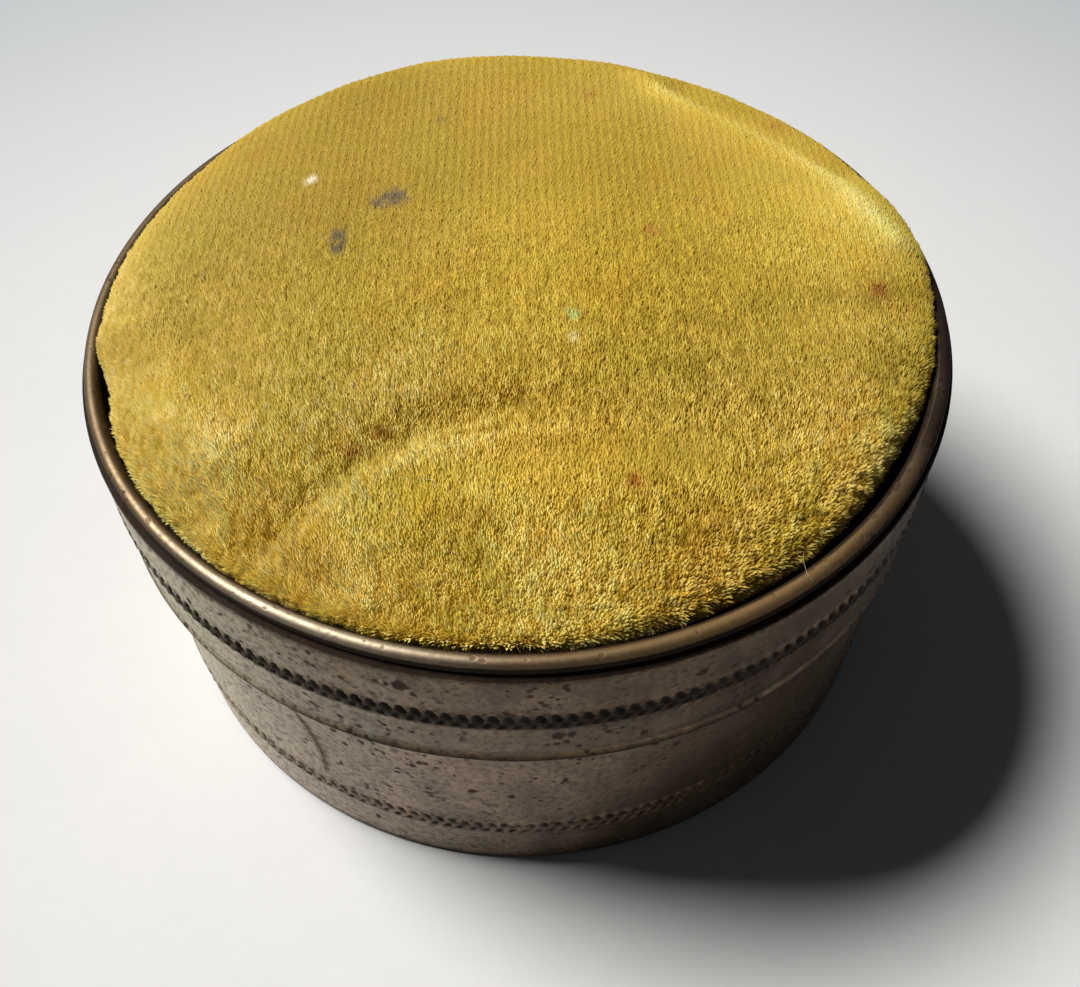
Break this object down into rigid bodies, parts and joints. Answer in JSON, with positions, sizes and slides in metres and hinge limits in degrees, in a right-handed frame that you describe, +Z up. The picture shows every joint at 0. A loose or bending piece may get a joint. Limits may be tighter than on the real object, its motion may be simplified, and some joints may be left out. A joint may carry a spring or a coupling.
{
  "type": "rosin cake in a velvet-topped tin",
  "caption": "Cake of bow rosin in a round slip-lid metal tin whose sunk lid carries a velvet-covered pad.",
  "frame": {"origin": "centre of the foot ring, on the surface the tin stands on", "axes": "+Z up along the tin's axis, which is its shortest extent; -Y is the side the picture faces; the bow's track in the cake runs along Y"},
  "size_m": [0.0452, 0.0452, 0.0243],
  "materials": {
    "base_metal": "tarnished tin plate with rust specks",
    "lid_metal": "tarnished tin plate with rust specks",
    "card": "grey-brown pulp card",
    "paper": "aged cream paper",
    "cake_velvet": "worn velvet",
    "rosin": "translucent amber rosin with a dusty worn track",
    "wadding": "loose cotton wadding",
    "velvet": "faded golden velvet with a short ribbed pile"
  },
  "bodies": {
    "base": {"base_cup": "base_metal", "floor_liner": "card", "wall_liner": "paper"},
    "cake": {"cake_cloth": "cake_velvet", "rosin_cake": "rosin"},
    "lid": {"lid_shell": "lid_metal", "lid_liner": "paper", "pad_board": "card", "pad_wadding": "wadding", "velvet_cover": "velvet"}
  },
  "joints": [
    {"name": "cake_lift", "type": "slide", "parent": "base", "child": "cake", "axis": [0, 0, 1], "range_m": [0, 0.03]},
    {"name": "lid_lift", "type": "slide", "parent": "cake", "child": "lid", "axis": [0, 0, 1], "range_m": [0, 0.03]}
  ]
}
